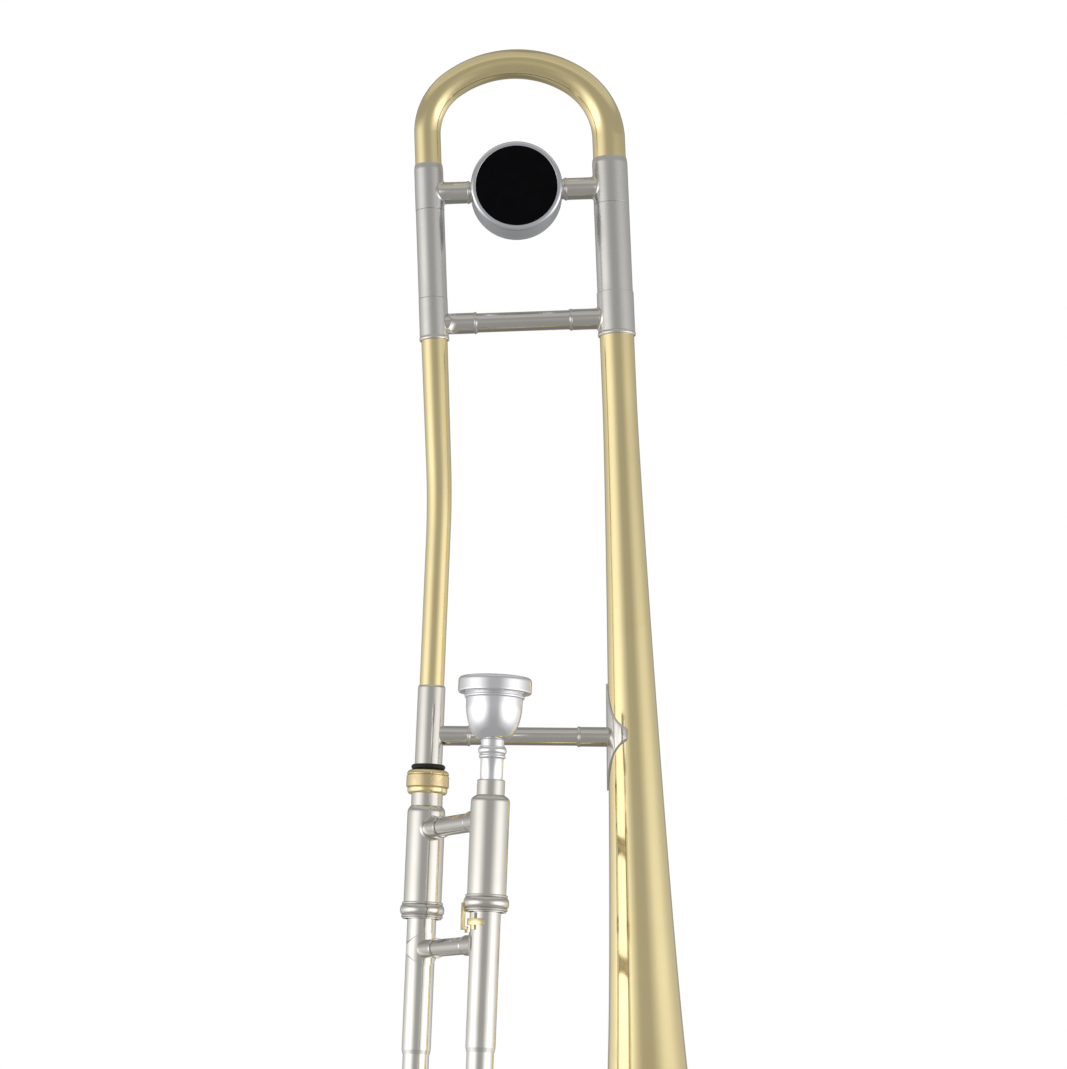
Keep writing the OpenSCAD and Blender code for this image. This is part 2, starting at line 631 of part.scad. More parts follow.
module outer_tube_mouth() color(nickel) on_mouth_tube()
    tube(outer_od, outer_id, -outer_tube_len, outer_top);

module oversleeve() {
    r = oversleeve_od / 2;
    rotate_extrude() polygon([[outer_od / 2, -oversleeve_len], [outer_od / 2 + 0.2, -oversleeve_len],
        [r, -oversleeve_len + 2.4], [r, outer_top - 1.5], [r - 0.4, outer_top - 0.5],
            [outer_od / 2, outer_top - 0.5]]);
}

module oversleeve_neck() color(nickel) on_neck_tube() oversleeve();

// The mouth side also carries a post between the saddle and the foot of the barrel
module oversleeve_mouth() color(nickel) on_mouth_tube() {
    oversleeve();
    rotate([0, 0, 90 - slide_angle]) rotate_extrude(angle = 24, start = 206)
        translate([oversleeve_od / 2 - 0.1, saddle_foot + saddle_h])
            square([1.5, barrel_foot - 0.5 - saddle_foot - saddle_h]);
}

module at_outer_brace() in_slide_plane() translate([0, 0, outer_brace_height]) children();

module outer_brace_tube() color(nickel) at_outer_brace()
    brace_tube(outer_brace_od, oversleeve_od / 2 + 3, slide_spacing - oversleeve_od / 2 - 3);

// Each socket is cast with a round flange that wraps its oversleeve
module outer_brace_sockets() color(nickel) at_outer_brace() facing_pair() {
    socket(outer_brace_od, oversleeve_od / 2, slide_socket_reach);
    intersection() {
        tube(oversleeve_od + 1.4, oversleeve_od, -12, 12);
        rotate([0, 90, 0]) difference() {
            cylinder(r = 8.9, h = oversleeve_od);
            cylinder(d = outer_brace_od, h = oversleeve_od * 2);
        }
    }
}

// Part ring on the oversleeve that the lock's hook holds from below, with a stub under it
module lock_saddle() color(lacquer) on_mouth_tube() rotate([0, 0, 90 - slide_angle]) {
    rotate_extrude(angle = 266 - saddle_start, start = saddle_start)
        translate([oversleeve_od / 2, saddle_foot])
        square([saddle_r - oversleeve_od / 2, saddle_h]);
    rotate_extrude(angle = 14, start = saddle_start + 14) translate([oversleeve_od / 2, saddle_foot - 2.4])
        square([1.1, 2.5]);
}

// ---- end bow and water key ----

module bow_round(angle, start) rotate([90, 0, 0]) rotate_extrude(angle = angle, start = start) children();

module end_bow() color(nickel) in_slide_plane() translate([bow_r, 0, bow_z]) {
    bow_round(180, 180) translate([bow_r, 0]) difference() {
        circle(d = outer_od);
        circle(d = outer_id - 0.4);
    }
    for (x = [-bow_r, bow_r]) translate([x, 0, 0])
        tube(outer_od, outer_id - 0.4, 0, -outer_tube_len - bow_z - 0.05);
}

module end_ferrules() color(nickel) for (x = [0, slide_spacing]) in_slide_plane() translate([x, 0, 0]) {
    foot = bow_z + 1;
    tube(outer_od + 1.5, outer_od, foot, foot + 36);
    beaded_ring(outer_od / 2 + 0.6, outer_od / 2 + 0.74, foot + 33.6, 2.4, 0.4);
}

// Guard plate under the bow, with the socket for the rubber tip
guard_t = 1.2;

module bow_guard() color(nickel) in_slide_plane() translate([bow_r, 0, bow_z]) {
    r = outer_od / 2;
    bow_round(50, 245) translate([bow_r, 0]) intersection() {
        difference() {
            circle(r = r + guard_t);
            circle(r = r);
        }
        polygon([[0, 0], [3, -9], [12, -9], [12, 9], [3, 9]]);
    }
    difference() {
        translate([0, 0, -bow_out - 5]) cylinder(r1 = 6.4, r2 = 7, h = 6);
        rotate([90, 0, 0]) rotate_extrude() translate([bow_r, 0]) circle(r = r + guard_t / 2);
        translate([0, 0, -bow_out - 6]) cylinder(r = 4, h = 4.4);
    }
}

module rubber_tip() color(black) in_slide_plane() translate([bow_r, 0, tip_face]) {
    neck = 8.9;
    rotate_extrude() polygon(concat([[0, 0], [3.6, 0]],
        [for (i = [0:6]) [3.6 + 2.6 * sin(15 * i), 2.6 - 2.6 * cos(15 * i)]],
        [[5.6, neck], [4, neck], [4, neck + 3.4], [0, neck + 3.4]]));
}

// Solid of the end bow, to seat the key's pieces on it
module bow_solid() rotate([90, 0, 0]) rotate_extrude() translate([bow_r, 0]) circle(d = outer_od);

module key_nipple() color(nickel) at_key() difference() {
    translate([bow_r - 1, 0, -key_cup_at]) rotate([0, 90, 0]) cylinder(r = 2.6, h = key_pivot - bow_r - 1);
    translate([bow_r - 2, 0, -key_cup_at]) rotate([0, 90, 0]) cylinder(r = 1.7, h = key_pivot);
    bow_solid();
}

module key_bracket() color(nickel) at_key() difference() {
    union() {
        translate([bow_r, -key_ear_y - 1.2, -3.2]) cube([bow_out - bow_r + 1.4, 2 * key_ear_y + 2.4, 6.4]);
        for (side = [-1, 1]) translate([bow_r, side * (key_ear_y + 0.6) - 0.6, 0]) {
            translate([0, 0, -3.2]) cube([key_pivot - bow_r, 1.2, 6.4]);
            translate([key_pivot - bow_r, 0, 0]) rotate([-90, 0, 0]) cylinder(r = 3.2, h = 1.2);
        }
    }
    bow_solid();
    translate([key_pivot, -10, 0]) rotate([-90, 0, 0]) cylinder(r = key_pin_r, h = 20);
}

module key_pin() color(nickel) at_key() translate([key_pivot, -key_ear_y - 1.2, 0]) rotate([-90, 0, 0])
    cylinder(r = key_pin_r, h = 2 * key_ear_y + 2.4);

// Bar with a cup at one end and a finger pad at the other, on a knuckle round the pin
module key_lever() color(nickel) at_key() difference() {
    union() {
        translate([key_pivot - 0.8, 0, key_pad_at]) rotate([0, 90, 0]) cylinder(r = 5, h = 1.6);
        translate([key_pivot - 0.8, -1.5, -key_cup_at]) cube([1.6, 3, key_cup_at + key_pad_at]);
        translate([key_pivot, -knuckle_y, 0]) rotate([-90, 0, 0]) cylinder(r = 2.3, h = 2 * knuckle_y);
        translate([key_pivot - 1.9, 0, -key_cup_at]) rotate([0, 90, 0]) cylinder(r = 4.2, h = 3.4);
    }
    translate([key_pivot, -10, 0]) rotate([-90, 0, 0]) cylinder(r = key_pin_r + turn_fit, h = 20);
    translate([key_pivot - 2, 0, -key_cup_at]) rotate([0, 90, 0]) cylinder(r = 3.3, h = 1.5);
}

module key_cork() color(cork) at_key() translate([key_pivot - 1.95, 0, -key_cup_at]) rotate([0, 90, 0])
    cylinder(r = 3.3, h = 1.45);

// Torsion spring: two turns on each side of the knuckle, with a leg beside the lever
module key_spring() color(nickel) at_key() for (side = [-1, 1]) {
    translate([key_pivot, side * (knuckle_y + 0.4), 0]) rotate([-90 * side, 0, 0])
        rotate_extrude($fn = 48)
            for (coil = [0, 1]) translate([1.6, coil * spring_pitch]) circle(r = spring_wire_r, $fn = 24);
    translate([key_pivot - 1.85, side * (knuckle_y + 0.4 + spring_pitch) - 0.25, 0]) cube([0.5, 0.5, 12]);
}

bell();
bell_rim_wire();
bell_ferrule();
bell_outer_tube();
neck_outer_tube();
neck_ferrule();
upper_brace_tube();
upper_brace_sockets();
gooseneck();
neckpipe();
neck_washer();
main_brace_tube();
main_socket_neck();
main_socket_bell();
brace_flange();
lock_nut();
tuning_bow();
bow_ferrule_neck();
bow_ferrule_bell();
tuning_leg_neck();
tuning_leg_bell();
weight_brace_tube();
weight_socket_neck();
weight_socket_bell();
weight_front();
weight_back();
weight_badge();
weight_screws();
slide_receiver();
barrel_neck();
barrel_ring_neck();
inner_tube_neck();
inner_tube_mouth();
stockings();
barrel_mouth();
mouthpiece_receiver();
leadpipe();
inner_brace_tube();
inner_brace_sockets();
bumper_corks();
lock_ring();
lock_hook();
mouthpiece();
outer_tube_neck();
outer_tube_mouth();
oversleeve_neck();
oversleeve_mouth();
outer_brace_tube();
outer_brace_sockets();
lock_saddle();
end_bow();
end_ferrules();
bow_guard();
rubber_tip();
key_nipple();
key_bracket();
key_pin();
key_lever();
key_cork();
key_spring();
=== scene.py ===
# %% [markdown]
# # A tenor trombone, finished on its measured frame
# The frame comes from the CAD model: every body, node and joint is
# already in place, in metres. Blender adds what the eye looks for: smooth
# tapers, solder fillets, knurling, lacquer, plate and soft reflections.
# The instrument hangs with its hand slide along Z and its bell pointing down.

import json
import math

import bpy
from mathutils import Matrix, Quaternion, Vector


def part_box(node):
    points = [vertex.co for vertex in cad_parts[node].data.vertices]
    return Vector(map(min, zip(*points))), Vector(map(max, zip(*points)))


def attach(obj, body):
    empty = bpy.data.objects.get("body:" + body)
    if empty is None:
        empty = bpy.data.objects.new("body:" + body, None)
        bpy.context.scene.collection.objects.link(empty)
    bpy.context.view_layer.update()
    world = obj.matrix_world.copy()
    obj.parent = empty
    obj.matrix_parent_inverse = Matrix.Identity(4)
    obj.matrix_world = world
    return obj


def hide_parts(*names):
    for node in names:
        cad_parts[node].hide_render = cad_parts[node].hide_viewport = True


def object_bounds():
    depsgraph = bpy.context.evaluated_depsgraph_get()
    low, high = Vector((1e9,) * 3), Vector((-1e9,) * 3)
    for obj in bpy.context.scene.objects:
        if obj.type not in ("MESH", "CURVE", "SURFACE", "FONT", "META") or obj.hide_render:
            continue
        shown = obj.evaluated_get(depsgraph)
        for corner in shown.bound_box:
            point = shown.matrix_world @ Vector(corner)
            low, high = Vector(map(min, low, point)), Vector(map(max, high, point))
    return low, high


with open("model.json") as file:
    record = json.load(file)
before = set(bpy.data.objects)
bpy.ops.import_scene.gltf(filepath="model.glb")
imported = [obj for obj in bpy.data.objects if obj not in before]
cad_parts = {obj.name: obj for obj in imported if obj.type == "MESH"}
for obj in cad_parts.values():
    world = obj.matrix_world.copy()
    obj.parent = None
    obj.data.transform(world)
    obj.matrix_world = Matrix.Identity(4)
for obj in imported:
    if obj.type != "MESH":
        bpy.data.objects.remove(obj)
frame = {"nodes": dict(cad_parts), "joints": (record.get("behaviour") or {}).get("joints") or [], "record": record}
cad_low, cad_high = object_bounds()
nodes = frame["nodes"]
joints = {joint["name"]: joint for joint in frame["joints"]}
print("frame", len(nodes), "nodes,", round(cad_high.z - cad_low.z, 3), "m long")

# %% [markdown]
# ## Where things are
# Turned parts need an axis to stand on. The two slide tubes are upright, so the
# middle of each barrel's box gives its axis. The bell section leans by a few
# degrees: the tuning slide pulls along that lean, which gives its direction.

# %% Axes of the tubes
MM = 0.001


def middle(node):
    low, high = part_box(node)
    return (low + high) / 2


def standing(point, direction):
    """A place whose Z runs along direction and whose Y stays level, pointing back."""
    up = Vector(direction).normalized()
    across = Vector((0, 1, 0)).cross(up).normalized()
    turn = Matrix((across, up.cross(across), up)).transposed()
    return Matrix.Translation(point) @ turn.to_4x4()


lean = Vector(joints["tuning_pull"]["axis"]).normalized()
toward = Vector((lean.z, 0, -lean.x))
neck_tube = standing((*middle("barrel_neck").xy, 0), (0, 0, 1))
mouth_tube = standing((*middle("barrel_mouth").xy, 0), (0, 0, 1))
bell_axis = standing((0, 0, 0), lean)
leg_foot = middle("neck_outer_tube")
neck_leg = standing(leg_foot - lean * leg_foot.dot(lean), lean)
across = (mouth_tube.translation - neck_tube.translation).normalized()
print("slide tubes", round((mouth_tube.translation - neck_tube.translation).length / MM, 1), "mm apart")
print("legs", round((bell_axis.translation - neck_leg.translation).length / MM, 1), "mm apart")

# %% [markdown]
# ## The camera
# A long lens from a little below, so the eye looks up along the tubes. The
# camera leans with the bell section, which makes its legs nearly upright.

# %% Camera
LENS, DISTANCE = 131.3, 2.159
RISE, ROLL = math.radians(-9.3), math.radians(2.24)
look_at = Vector((-0.0841, 0.0, 0.4366))
back = Vector((0, -math.cos(RISE), math.sin(RISE)))
bpy.ops.object.camera_add(location=look_at + back * DISTANCE)
camera = bpy.context.object
camera.name = "camera"
camera.rotation_mode = "QUATERNION"
camera.rotation_quaternion = (-back).to_track_quat("-Z", "Y") @ Quaternion((0, 0, 1), ROLL)
camera.data.lens = LENS
camera.data.clip_end = 100
bpy.context.scene.camera = camera
print("camera", [round(v, 3) for v in camera.location])

# %% [markdown]
# ## The studio
# Polished metal shows its surroundings more than itself. Such a piece is lit in
# a tent of white cloth, with a tall soft box on each side of the lens and a
# darker gap between them. The world plays the tent. Its ramps run round and over
# the horizon: two place the boxes and fade them upwards, one is the even cloth,
# which is brightest overhead, and the last dims the cloth behind the piece.

# %% World helpers
world = bpy.data.worlds.new("tent")
bpy.context.scene.world = world
world.use_nodes = True
tent = world.node_tree
tent.nodes.clear()


def node(tree, kind, inputs=(), **settings):
    """Adds one node, sets it up, and fills its sockets with values or links."""
    made = tree.nodes.new(kind)
    for key, value in settings.items():
        setattr(made, key, value)
    for key, value in dict(inputs).items():
        if isinstance(value, bpy.types.NodeSocket):
            tree.links.new(value, made.inputs[key])
        else:
            made.inputs[key].default_value = value
    return made


def ramp(tree, factor, stops, smooth="EASE"):
    """A ramp of greys or colours from (place, value) stops."""
    made = node(tree, "ShaderNodeValToRGB", {0: factor})
    made.color_ramp.interpolation = smooth
    while len(made.color_ramp.elements) < len(stops):
        made.color_ramp.elements.new(0.5)
    for element, (place, value) in zip(made.color_ramp.elements, stops):
        element.position = place
        element.color = (value, value, value, 1) if isinstance(value, float) else (*value, 1)
    return made.outputs["Color"]


def reckon(tree, operation, *values):
    """One step of arithmetic between sockets or numbers."""
    return node(tree, "ShaderNodeMath", dict(enumerate(values)), operation=operation).outputs[0]


# %% World
view = node(tent, "ShaderNodeTexCoord").outputs["Generated"]
up = node(tent, "ShaderNodeSeparateXYZ", {0: view}).outputs["Z"]
level = node(tent, "ShaderNodeVectorMath", {0: view, 1: (1, 1, 0)}, operation="MULTIPLY").outputs[0]
level = node(tent, "ShaderNodeVectorMath", {0: level}, operation="NORMALIZE").outputs[0]
ahead = node(tent, "ShaderNodeSeparateXYZ", {0: level}).outputs["Y"]
away = reckon(tent, "MULTIPLY_ADD", ahead, 0.5, 0.5)
height = reckon(tent, "MULTIPLY_ADD", up, 0.5, 0.5)
sides = ramp(tent, away, [
    (0.0, 0.0), (0.017, 0.02), (0.05, 0.22), (0.1, 0.5), (0.17, 0.85), (0.27, 1.0), (0.4, 0.95),
    (0.53, 0.65), (0.7, 0.35), (0.9, 0.15), (1.0, 0.05)], "LINEAR")
boxes = ramp(tent, height, [
    (0.146, 0.0), (0.25, 0.2), (0.41, 0.9), (0.5, 1.0), (0.5175, 0.95), (0.533, 0.66),
    (0.561, 0.45), (0.604, 0.32), (0.63, 0.23), (0.6545, 0.1), (0.687, 0.0)], "LINEAR")
cloth = ramp(tent, height, [
    (0.0, 0.36), (0.3, 0.38), (0.5, 0.46), (0.56, 0.44), (0.62, 0.4), (0.78, 0.39), (0.85, 0.6),
    (1.0, 0.5)], "LINEAR")
behind = ramp(tent, away, [(0.86, 1.0), (1.0, 0.6)])


def blend(tree, share, first, second):
    """Mixes two greys or colours by a share."""
    mix = node(tree, "ShaderNodeMix", {"Factor": share}, data_type="RGBA")
    for key, value in ((6, first), (7, second)):
        if isinstance(value, bpy.types.NodeSocket):
            tree.links.new(value, mix.inputs[key])
        else:
            mix.inputs[key].default_value = value
    return mix.outputs[2]


glow = reckon(tent, "MULTIPLY", sides, boxes)
glow = reckon(tent, "MULTIPLY_ADD", glow, 1.5, cloth)
light = reckon(tent, "MULTIPLY", glow, behind)
seen = node(tent, "ShaderNodeLightPath").outputs["Is Camera Ray"]
inside = node(tent, "ShaderNodeBackground", {"Color": light, "Strength": 1.0})
outside = node(tent, "ShaderNodeBackground", {"Color": (1, 1, 1, 1)})
mixed = node(tent, "ShaderNodeMixShader", {0: seen, 1: inside.outputs[0], 2: outside.outputs[0]})
node(tent, "ShaderNodeOutputWorld", {0: mixed.outputs[0]})
bpy.context.scene.view_settings.view_transform = "Standard"
print("tent", len(tent.nodes), "nodes")

# %% Floor
bpy.ops.mesh.primitive_plane_add(size=40, location=(0, 0, cad_low.z - 0.05))
floor = bpy.context.object
floor.name = "floor"
floor.visible_glossy = False  # polished metal mirrors the tent below it, not the floor

# %% [markdown]
# ## Marks that every polished metal has
# Up close no plate is perfect: cloths leave fine lines along a tube, fingers
# leave soft patches, and the tube itself is a little uneven from drawing. All
# finishes share these marks, so each is built once as a node group and placed
# with its own strength.

# %% Node groups


def group(name, inputs, outputs):
    """An empty shader group with named float or vector sockets."""
    tree = bpy.data.node_groups.new(name, "ShaderNodeTree")
    for label, kind in inputs:
        tree.interface.new_socket(label, in_out="INPUT", socket_type=kind)
    for label in outputs:
        tree.interface.new_socket(label, in_out="OUTPUT", socket_type="NodeSocketFloat")
    return tree, tree.nodes.new("NodeGroupInput"), tree.nodes.new("NodeGroupOutput")


def noise(tree, place, stretch, scale, detail=2.0):
    """Noise stretched by a factor along each axis."""
    spread = node(tree, "ShaderNodeVectorMath", {0: place, 1: stretch}, operation="MULTIPLY").outputs[0]
    made = node(tree, "ShaderNodeTexNoise", {"Vector": spread, "Scale": scale, "Detail": detail})
    return made.outputs["Fac"]


marks, given, result = group("handling_marks",
                             [("Place", "NodeSocketVector"), ("Patch Size", "NodeSocketFloat")],
                             ["Smudge", "Hairlines"])
patches = node(marks, "ShaderNodeTexNoise", {
    "Vector": given.outputs[0], "Scale": given.outputs[1], "Detail": 5.0, "Distortion": 0.6}).outputs["Fac"]
smudge = node(marks, "ShaderNodeMapRange", {0: patches, 1: 0.38, 2: 0.68}).outputs[0]
lines = noise(marks, given.outputs[0], (1, 1, 0.02), 900.0, 3.0)
hairlines = node(marks, "ShaderNodeMapRange", {0: lines, 1: 0.62, 2: 0.78}).outputs[0]
marks.links.new(smudge, result.inputs[0])
marks.links.new(hairlines, result.inputs[1])

drawing, given, result = group("drawn_surface",
                               [("Place", "NodeSocketVector"), ("Fine", "NodeSocketFloat")], ["Height"])
swell = noise(drawing, given.outputs[0], (1, 1, 0.35), 55.0)
grain = noise(drawing, given.outputs[0], (1, 1, 0.06), 2200.0, 3.0)
drawing.links.new(reckon(drawing, "MULTIPLY_ADD", grain, given.outputs[1], swell), result.inputs[0])
print("groups", [tree.name for tree in (marks, drawing)])

# %% [markdown]
# ## Finishes
# Lacquered brass is the metal's colour under a thin clear coat, which whitens
# the grazing edges. Nickel silver is a little warm and a little softer than
# chrome. Each finish is one Principled shader: its tint is varied by the
# smudges, its roughness by smudges and hairlines, its bump by the drawn surface.

# %% Metal finishes


def metal(name, tint, dull, roughness, fine, waver, patch=38.0, coat=0.0):
    """A polished metal: tint and its dulled colour, gloss, grain, waviness and coat."""
    made = bpy.data.materials.new(name)
    made.use_nodes = True
    tree = made.node_tree
    tree.nodes.clear()
    place = node(tree, "ShaderNodeTexCoord").outputs["Object"]
    marked = node(tree, "ShaderNodeGroup", node_tree=marks)
    drawn = node(tree, "ShaderNodeGroup", node_tree=drawing)
    tree.links.new(place, marked.inputs["Place"])
    tree.links.new(place, drawn.inputs["Place"])
    marked.inputs["Patch Size"].default_value = patch
    drawn.inputs["Fine"].default_value = fine
    share = reckon(tree, "MULTIPLY", marked.outputs["Smudge"], 0.55)
    colour = blend(tree, share, (*tint, 1), (*dull, 1))
    gloss = reckon(tree, "MULTIPLY_ADD", marked.outputs["Smudge"], roughness * 0.5, roughness * 0.8)
    gloss = reckon(tree, "MULTIPLY_ADD", marked.outputs["Hairlines"], roughness * 0.4, gloss)
    bump = node(tree, "ShaderNodeBump",
                {"Strength": waver, "Distance": 0.0004, "Height": drawn.outputs["Height"]})
    bsdf = node(tree, "ShaderNodeBsdfPrincipled", {"Base Color": colour, "Metallic": 1.0, "Roughness": gloss,
                                                   "Normal": bump.outputs[0], "Coat Weight": coat,
                                                   "Coat Roughness": 0.04})
    node(tree, "ShaderNodeOutputMaterial", {0: bsdf.outputs[0]})
    return made


finishes = {
    "lacquered_brass": metal("lacquered_brass", (0.93, 0.79, 0.43), (0.90, 0.75, 0.40),
                             0.10, 0.05, 0.06, coat=0.2),
    "nickel_silver": metal("nickel_silver", (0.74, 0.715, 0.67), (0.70, 0.67, 0.61), 0.13, 0.10, 0.08),
    "silver_plate": metal("silver_plate", (0.93, 0.93, 0.95), (0.90, 0.90, 0.91), 0.10, 0.05, 0.04),
    "chrome_plate": metal("chrome_plate", (0.78, 0.79, 0.83), (0.75, 0.76, 0.80), 0.06, 0.02, 0.03),
    "steel": metal("steel", (0.60, 0.60, 0.60), (0.5, 0.5, 0.5), 0.25, 0.3, 0.1),
}
satin_nickel = metal("satin_nickel", (0.74, 0.725, 0.69), (0.70, 0.68, 0.64), 0.25, 0.10, 0.02, patch=60.0)
knurled_brass = metal("knurled_brass", (0.88, 0.72, 0.42), (0.78, 0.62, 0.36), 0.30, 0.3, 0.25, patch=160.0)
print("metals", sorted(finishes))

# %% [markdown]
# ## Rubber, cork and the black disc
# The washer and the tip are matt rubber with a fine skin. Cork is light brown
# with darker pores. The weight's disc is black enamel, smooth, with the faint
# waves and dust that any glossy black shows.

# %% Other finishes


def plain(name, dark, pale, scale, roughness, relief, specular=0.5):
    """A coat or a soft material: two colours mottled together, with a fine relief."""
    made = bpy.data.materials.new(name)
    made.use_nodes = True
    tree = made.node_tree
    tree.nodes.clear()
    place = node(tree, "ShaderNodeTexCoord").outputs["Object"]
    mottle = noise(tree, place, (1, 1, 1), scale, 6.0)
    share = node(tree, "ShaderNodeMapRange", {0: mottle, 1: 0.4, 2: 0.65}).outputs[0]
    colour = blend(tree, share, (*dark, 1), (*pale, 1))
    gloss = reckon(tree, "MULTIPLY_ADD", share, roughness * 0.3, roughness * 0.85)
    bump = node(tree, "ShaderNodeBump", {"Strength": relief, "Distance": 0.0003, "Height": mottle})
    bsdf = node(tree, "ShaderNodeBsdfPrincipled", {"Base Color": colour, "Roughness": gloss,
                                                   "Normal": bump.outputs[0], "Specular IOR Level": specular})
    node(tree, "ShaderNodeOutputMaterial", {0: bsdf.outputs[0]})
    return made


finishes["badge_enamel"] = plain("badge_enamel", (0.002, 0.002, 0.003), (0.003, 0.003, 0.004),
                                160.0, 0.4, 0.02, specular=0.06)
finishes["black_rubber"] = plain("black_rubber", (0.012, 0.012, 0.013), (0.022, 0.022, 0.022),
                                1400.0, 0.55, 0.3)
finishes["cork"] = plain("cork", (0.30, 0.18, 0.09), (0.58, 0.42, 0.25), 1100.0, 0.85, 0.8)
for part in frame["record"]["subparts"]:
    nodes[part["node"]].data.materials.clear()
    nodes[part["node"]].data.materials.append(finishes[part["material_slot"]])
print("finishes", sorted(finishes))

# %% [markdown]
# ## Turning a piece
# Most of a trombone is turned or drawn, so it has one axis. Here a piece is made
# as on a lathe: one point is pushed along the outline, edge by edge, and the
# outline is spun once round. Corners are eased first, because no real edge is
# perfectly sharp and the small round is what catches the light.

# %% Lathe helpers


def span(name, place):
    """Foot, top, inner and outer radius of a CAD node about the Z of a place, in mm."""
    seen = place.inverted() @ nodes[name].matrix_world
    points = [seen @ vertex.co for vertex in nodes[name].data.vertices]
    radii = [math.hypot(point.x, point.y) / MM for point in points]
    heights = [point.z / MM for point in points]
    return min(heights), max(heights), min(radii), max(radii)


def eased(corners, steps=4):
    """Rounds the corners of a closed outline of (radius, height) or (radius, height, ease)."""
    points = []
    for index, (r, z, *ease) in enumerate(corners):
        corner = Vector((r, z))
        if not ease:
            points.append(corner)
            continue
        before = (Vector(corners[index - 1][:2]) - corner).normalized() * ease[0]
        after = (Vector(corners[(index + 1) % len(corners)][:2]) - corner).normalized() * ease[0]
        start, end = corner + before, corner + after
        points.append(start + before * 0.15)
        for step in range(steps + 1):
            share = step / steps
            points.append(start.lerp(corner, share).lerp(corner.lerp(end, share), share))
        points.append(end + after * 0.15)
    return [(point.x, point.y) for point in points]


def bead(r, foot, top, proud, steps=8):
    """Points of a round bead on a radius."""
    turns = [math.pi * step / steps for step in range(steps + 1)]
    return [(r + proud * math.sin(turn), foot + (top - foot) * (1 - math.cos(turn)) / 2) for turn in turns]


def turned(name, outline, sides=128, crease=30):
    """Draws a closed outline in mm and spins it round Z; the mesh is then in metres."""
    bpy.ops.object.select_all(action="DESELECT")
    bpy.ops.mesh.primitive_plane_add(size=1)
    piece = bpy.context.object
    piece.name = name
    bpy.ops.object.mode_set(mode="EDIT")
    bpy.ops.mesh.select_all(action="SELECT")
    bpy.ops.mesh.merge(type="CENTER")
    bpy.ops.transform.translate(value=(outline[0][0], 0, outline[0][1]))
    for (r, z), (next_r, next_z) in zip(outline, outline[1:] + outline[:1]):
        bpy.ops.mesh.extrude_vertices_move(TRANSFORM_OT_translate={"value": (next_r - r, 0, next_z - z)})
    bpy.ops.mesh.select_all(action="SELECT")
    bpy.ops.mesh.spin(steps=sides, angle=math.tau, center=(0, 0, 0), axis=(0, 0, 1))
    bpy.ops.mesh.select_all(action="SELECT")
    bpy.ops.mesh.remove_doubles(threshold=0.0005)
    bpy.ops.mesh.normals_make_consistent(inside=False)
    bpy.ops.object.mode_set(mode="OBJECT")
    piece.scale = (MM, MM, MM)
    bpy.ops.object.transform_apply(location=False, rotation=False, scale=True)
    bpy.ops.object.shade_smooth_by_angle(angle=math.radians(crease))
    return piece


def fitted(piece, place, body, slot, *replaced, finish=None):
    """Puts a piece in its place for good, gives it its finish, and lets it ride its body."""
    bpy.ops.object.select_all(action="DESELECT")
    piece.select_set(True)
    bpy.context.view_layer.objects.active = piece
    piece.matrix_world = place @ piece.matrix_world
    bpy.ops.object.transform_apply(location=True, rotation=True, scale=True)
    piece.data.materials.clear()
    piece.data.materials.append(finish or finishes[slot])
    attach(piece, body)
    if replaced:
        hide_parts(*replaced)
    return piece


# %% [markdown]
# ## Plain tubes and ferrules
# Drawn tubes and the sleeves over them differ only in their ends: a cut tube has
# a tiny round, a ferrule a bead at its foot or a cone at its top. The lengths
# and radii come from the frame, so the new pieces sit exactly on the old ones.

# %% Tubes


def tube(name, place, body, node_name, finish=None):
    """A drawn tube with lightly broken edges, the size of its CAD node."""
    foot, top, inner, outer = span(node_name, place)
    outline = eased([(inner, foot), (outer, foot, 0.15), (outer, top, 0.15), (inner, top)])
    return fitted(turned(name, outline), place, body, "nickel_silver", node_name, finish=finish)


tube("neck_tuning_tube", neck_leg, "bell_section", "neck_outer_tube", satin_nickel)
tube("bell_tuning_tube", bell_axis, "bell_section", "bell_outer_tube", satin_nickel)
tube("slide_tube_neck", neck_tube, "outer_slide", "outer_tube_neck")
tube("slide_tube_mouth", mouth_tube, "outer_slide", "outer_tube_mouth")

# %% Ferrules of the bell section


def ferrule(name, place, node_name, inner_low, inner_high, step):
    """A sleeve with a bead at its foot and a broken edge at its top."""
    foot, top, _, widest = span(node_name, place)
    outer = widest - 0.3
    outline = [(inner_low, foot), *bead(outer - 0.15, foot, foot + 2.2, 0.45)]
    outline += eased([(outer, foot + 2.4), (outer, top, 0.35), (inner_high, top)])
    outline += [(inner_high, step), (inner_low, step)]
    return fitted(turned(name, outline), place, "bell_section", "nickel_silver", node_name,
                  finish=satin_nickel)


GOOSENECK_R = 7.4
stem_r = span("bell_outer_tube", bell_axis)[3]
neck_r = span("neck_outer_tube", neck_leg)[3]
bell_top = span("bell", bell_axis)[1]
neck_ferrule = ferrule("neck_ferrule_sleeve", neck_leg, "neck_ferrule", GOOSENECK_R,
                       neck_r, span("neck_outer_tube", neck_leg)[0])
bell_ferrule = ferrule("bell_ferrule_sleeve", bell_axis, "bell_ferrule",
                       span("bell_ferrule", bell_axis)[2], stem_r, bell_top)

# %% Ferrules of the bow


def bow_ferrule(name, place, node_name):
    """The sleeve that joins the bow to a leg: straight, then a short cone up to the bow."""
    foot, top, inner, outer = span(node_name, place)
    outline = eased([(inner, foot), (outer, foot, 0.2), (outer, top - 2.9, 0.5),
                     (inner + 0.35, top - 0.2, 0.2), (inner, top)])
    return fitted(turned(name, outline), place, "tuning_slide", "nickel_silver", node_name,
                  finish=satin_nickel)


